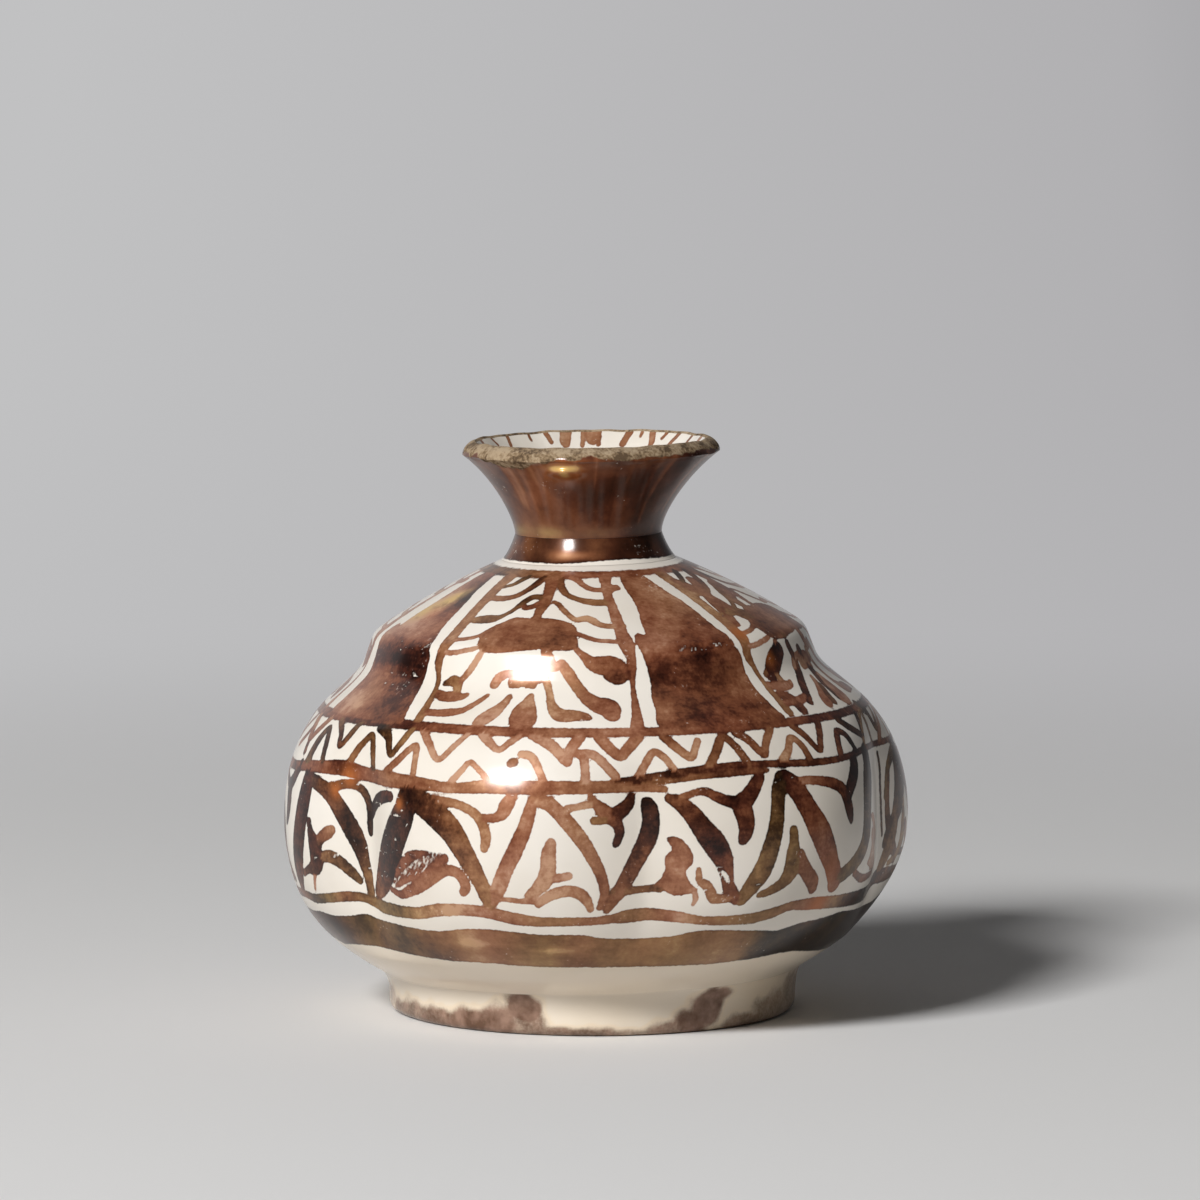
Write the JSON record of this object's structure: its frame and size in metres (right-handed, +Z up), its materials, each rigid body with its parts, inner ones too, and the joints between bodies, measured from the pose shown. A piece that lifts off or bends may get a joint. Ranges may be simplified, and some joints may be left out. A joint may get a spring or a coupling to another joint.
{
  "type": "ceramic spittoon",
  "caption": "Footed ceramic spittoon with a lobed belly, stepped sloping shoulder, collared narrow neck and flared funnel mouth, painted in copper lustre on white glaze.",
  "frame": {"origin": "on the vessel's axis, in the plane that the foot stands on", "axes": "+Z up along the vessel's axis, the painted front faces -Y, +X to the right seen from the front"},
  "size_m": [0.1252, 0.1231, 0.1148],
  "materials": {
    "foot_glaze": "thin cream glaze over a turned foot, bare where it is worn",
    "painted_glaze": "glossy cream-white glaze with brushed copper-brown lustre painting",
    "lustre": "dark red-brown lustre over glossy glaze",
    "dried_slip": "matt fired slip, as smoothed by hand"
  },
  "bodies": {
    "root": {"foot_ring": "foot_glaze", "foot_slip_bead": "dried_slip", "lower_body": "painted_glaze", "belly_slip_bead": "dried_slip", "upper_body": "painted_glaze", "neck_slip_bead": "dried_slip", "neck_collar": "lustre", "mouth_funnel": "lustre"}
  },
  "joints": []
}
